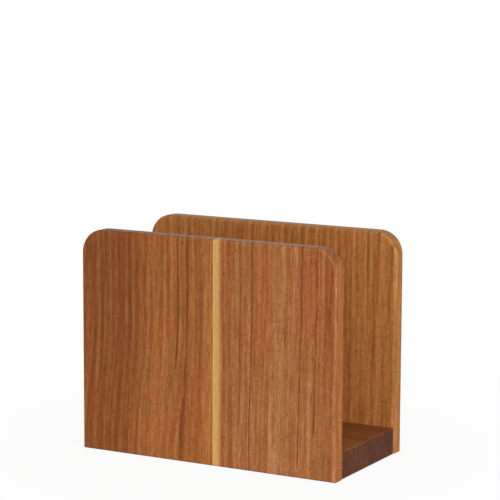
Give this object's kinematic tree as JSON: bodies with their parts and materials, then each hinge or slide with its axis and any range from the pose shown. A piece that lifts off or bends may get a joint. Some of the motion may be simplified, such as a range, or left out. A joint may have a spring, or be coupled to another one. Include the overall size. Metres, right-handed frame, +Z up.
{
  "type": "mail organizer",
  "caption": "Wooden mail organizer: upright front and back panels with rounded shoulders on a thick base board, open at both ends and on top to hold letters on edge.",
  "frame": {"origin": "on the table, at the middle of the footprint", "axes": "+X to the right along the panels, front panel faces -Y, +Z up"},
  "size_m": [0.19, 0.1, 0.15],
  "materials": {
    "front_left_board": "oiled heartwood, satin, vertical grain",
    "front_right_board": "oiled heartwood with a strip of pale sapwood along its glued edge, satin, vertical grain",
    "back_left_board": "oiled heartwood, satin, vertical grain",
    "back_right_board": "oiled heartwood, satin, vertical grain",
    "base_board": "oiled heartwood, satin, grain along the channel, dark end grain",
    "dowel_wood": "raw pale hardwood, fluted"
  },
  "bodies": {
    "root": {"front_left_board": "front_left_board", "front_right_board": "front_right_board", "back_left_board": "back_left_board", "back_right_board": "back_right_board", "base_board": "base_board", "front_dowels": "dowel_wood", "back_dowels": "dowel_wood"}
  },
  "joints": []
}
